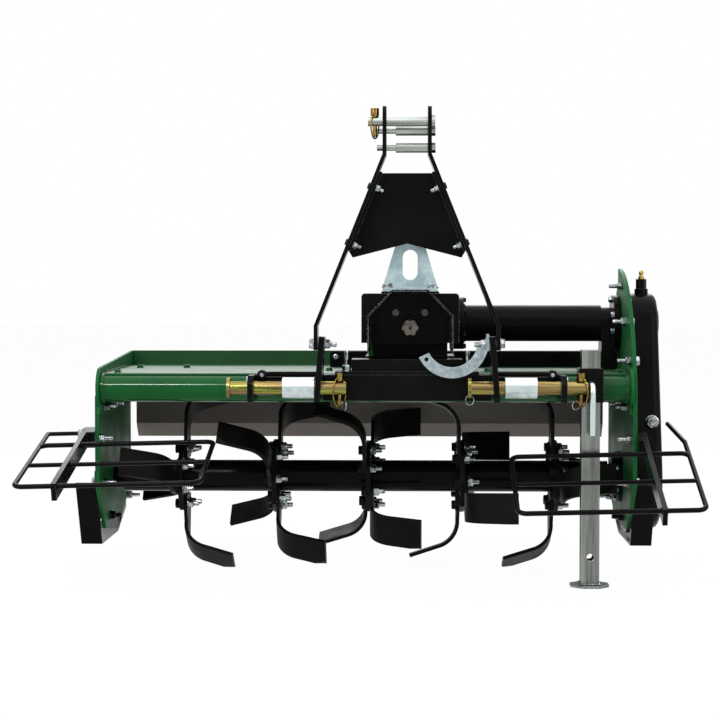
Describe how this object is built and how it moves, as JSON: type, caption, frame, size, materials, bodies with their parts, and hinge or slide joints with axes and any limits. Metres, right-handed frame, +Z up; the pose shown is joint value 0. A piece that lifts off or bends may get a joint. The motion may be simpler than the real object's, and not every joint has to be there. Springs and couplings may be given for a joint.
{
  "type": "rotary tiller",
  "caption": "Tractor-mounted rotary tiller: tined rotor under a sheet hood, side gear drive, bevel gearbox, three-point hitch mast, wire guards, rear flap and a parking stand.",
  "frame": {"origin": "middle of the machine's outline on the ground that it is parked on", "axes": "+X along the rotor to the gear case side, +Y to the rear flap, away from the tractor, +Z up"},
  "size_m": [1.362, 0.8562, 0.999],
  "materials": {
    "green_paint": "gloss paint on rolled steel",
    "black_paint": "gloss powder coat",
    "black_casting": "satin paint on a casting",
    "zinc_plate": "bright zinc plating",
    "yellow_zinc": "yellow passivated zinc plating",
    "brass": "turned brass",
    "flap_paint": "satin dark paint on sheet",
    "shaft_steel": "turned steel, oiled",
    "tine_steel": "gloss dip paint on forged steel"
  },
  "bodies": {
    "frame": {"main_tube": "green_paint", "hood_deck": "green_paint", "hood_end_left": "green_paint", "hood_end_right": "green_paint", "side_plate_left": "green_paint", "side_plate_right": "green_paint", "bearing_left": "black_casting", "bearing_right": "black_casting", "gear_case": "black_paint", "filler_plug": "black_paint", "breather": "brass", "gearbox": "black_casting", "gearbox_base": "black_paint", "cross_channel": "black_paint", "gearbox_support": "green_paint", "lifting_plate": "zinc_plate", "pto_shield": "black_paint", "drive_tube": "black_paint", "hitch_beam": "black_paint", "hitch_saddle": "black_paint", "ear_inner_left": "black_paint", "ear_inner_right": "black_paint", "ear_outer_left": "black_paint", "ear_outer_right": "black_paint", "tie_bars": "black_paint", "mast_left": "black_paint", "mast_right": "black_paint", "mast_plate": "black_paint", "top_pin": "zinc_plate", "mast_spacers": "zinc_plate", "link_pin_left": "yellow_zinc", "link_pin_right": "yellow_zinc", "sleeve_left": "zinc_plate", "sleeve_right": "zinc_plate", "shaft_hook": "zinc_plate", "stand_socket": "black_paint", "lock_pin": "zinc_plate", "guard_left": "black_paint", "guard_right": "black_paint", "skid_left": "black_paint", "skid_right": "black_paint", "hinge_rod": "green_paint"},
    "rotor": {"rotor_shaft": "black_paint", "tine_set_1": "tine_steel", "tine_set_2": "tine_steel", "tine_set_3": "tine_steel", "tine_set_4": "tine_steel", "tine_set_5": "tine_steel"},
    "flap": {"rear_flap": "flap_paint"},
    "parking_stand": {"stand": "zinc_plate"},
    "input_shaft": {"pto_shaft": "shaft_steel"}
  },
  "joints": [
    {"name": "rotor_spin", "type": "hinge", "parent": "frame", "child": "rotor", "pos_m": [0.0085, 0.13695, 0.205], "axis": [1, 0, 0], "continuous": true},
    {"name": "shaft_spin", "type": "hinge", "parent": "frame", "child": "input_shaft", "pos_m": [0.101, 0, 0.54], "axis": [0, -1, 0], "continuous": true},
    {"name": "flap_swing", "type": "hinge", "parent": "frame", "child": "flap", "pos_m": [0.0035, 0.40295, 0.432], "axis": [1, 0, 0], "range_deg": [-2, 75]},
    {"name": "stand_slide", "type": "slide", "parent": "frame", "child": "parking_stand", "axis": [0, 0, 1], "range_m": [0, 0.362]}
  ],
  "couplings": [
    {"joint": "shaft_spin", "follows": "rotor_spin", "ratio": 2.57}
  ]
}
